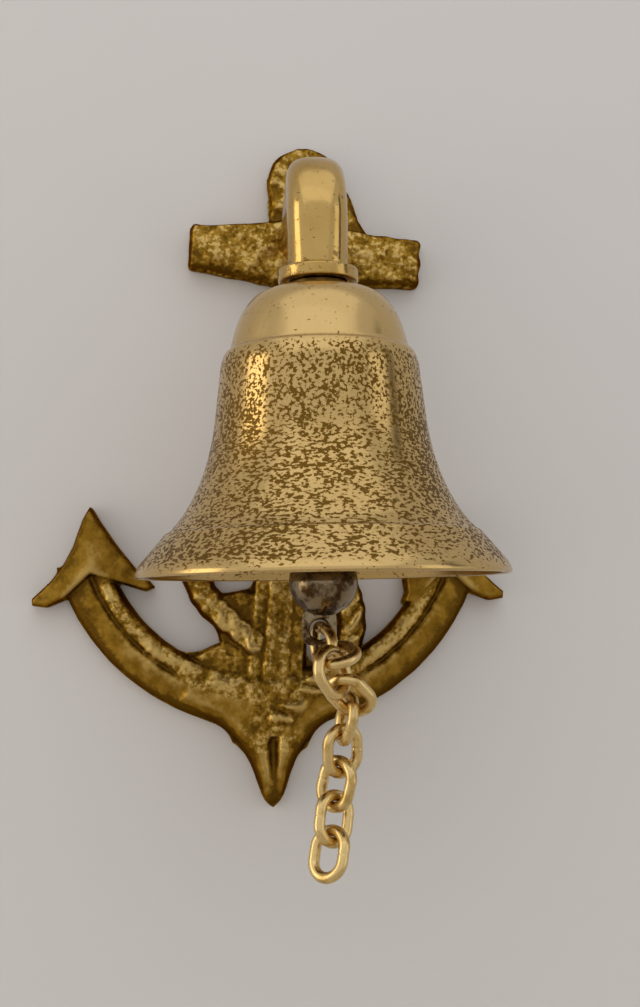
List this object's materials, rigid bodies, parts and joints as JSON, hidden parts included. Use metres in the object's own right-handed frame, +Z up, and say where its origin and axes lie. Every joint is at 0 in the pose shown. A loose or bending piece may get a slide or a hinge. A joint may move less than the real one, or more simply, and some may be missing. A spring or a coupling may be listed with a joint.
{
  "type": "wall bell",
  "caption": "Wall-mounted ship bell: turned brass bell on a bracket arm from a fouled-anchor plaque, with a swinging ball clapper and a chain pull",
  "frame": {"origin": "centre of the hanging hole, on the wall face", "axes": "+Z up along the hanging bell's axis, +Y into the wall, the front faces -Y"},
  "size_m": [0.1132, 0.09, 0.1671],
  "materials": {
    "cast_brass": "rough casting, aged, dark in its recesses",
    "polished_brass": "polished, lightly tarnished",
    "dark_brass": "dull, dark",
    "bell_brass": "turned, mottled with dark tarnish",
    "plain_steel": "plain, dull",
    "clapper_steel": "bright, a little stained",
    "chain_brass": "bright plated"
  },
  "bodies": {
    "frame": {"anchor_plaque": "cast_brass", "bracket_arm": "polished_brass", "arm_screw": "plain_steel", "collar": "polished_brass", "crown_washer": "dark_brass", "bell": "bell_brass", "inner_washer": "dark_brass", "crown_nut": "plain_steel", "eye_bolt": "plain_steel"},
    "clapper": {"clapper_rod": "clapper_steel", "clapper_ball": "clapper_steel"},
    "link_1": {"chain_link_1": "chain_brass"},
    "link_2": {"chain_link_2": "chain_brass"},
    "link_3": {"chain_link_3": "chain_brass"},
    "link_4": {"chain_link_4": "chain_brass"},
    "link_5": {"chain_link_5": "chain_brass"},
    "link_6": {"chain_link_6": "chain_brass"},
    "link_7": {"chain_link_7": "chain_brass"},
    "link_8": {"chain_link_8": "chain_brass"},
    "link_9": {"chain_link_9": "chain_brass"}
  },
  "joints": [
    {"name": "clapper_swing", "type": "hinge", "parent": "frame", "child": "clapper", "pos_m": [0, -0.052, -0.0514], "axis": [0, 1, 0], "range_deg": [-28, 28]},
    {"name": "link_1_hinge", "type": "hinge", "parent": "clapper", "child": "link_1", "pos_m": [-0.001, -0.052, -0.11105], "axis": [-0.6361, 0, -0.7716], "range_deg": [-2, 13]},
    {"name": "link_2_hinge", "type": "hinge", "parent": "link_1", "child": "link_2", "pos_m": [0.00122, -0.05818, -0.11282], "axis": [-0.0568, 0.2472, -0.9673], "range_deg": [-26, 26]},
    {"name": "link_3_hinge", "type": "hinge", "parent": "link_2", "child": "link_3", "pos_m": [-0.00028, -0.06352, -0.11503], "axis": [0.6875, -0.7228, -0.0696], "range_deg": [-20, 11]},
    {"name": "link_4_hinge", "type": "hinge", "parent": "link_3", "child": "link_4", "pos_m": [0.00307, -0.05984, -0.1198], "axis": [-0.4346, -0.5102, -0.7421], "range_deg": [-28, 28]},
    {"name": "link_5_hinge", "type": "hinge", "parent": "link_4", "child": "link_5", "pos_m": [0.00451, -0.05591, -0.12445], "axis": [-0.9587, 0.0142, 0.2841], "range_deg": [-28, 28]},
    {"name": "link_6_hinge", "type": "hinge", "parent": "link_5", "child": "link_6", "pos_m": [0.00315, -0.05324, -0.1305], "axis": [0.1725, -0.9579, -0.2295], "range_deg": [-21, 21]},
    {"name": "link_7_hinge", "type": "hinge", "parent": "link_6", "child": "link_7", "pos_m": [0.0024, -0.05208, -0.13718], "axis": [0.8561, 0.4926, -0.1562], "range_deg": [-25, 25]},
    {"name": "link_8_hinge", "type": "hinge", "parent": "link_7", "child": "link_8", "pos_m": [0.00156, -0.0521, -0.14395], "axis": [0.7461, -0.663, 0.0615], "range_deg": [-27, 27]},
    {"name": "link_9_hinge", "type": "hinge", "parent": "link_8", "child": "link_9", "pos_m": [0.00039, -0.05395, -0.15049], "axis": [-0.8159, -0.4868, 0.3119], "range_deg": [-21, 21]}
  ]
}
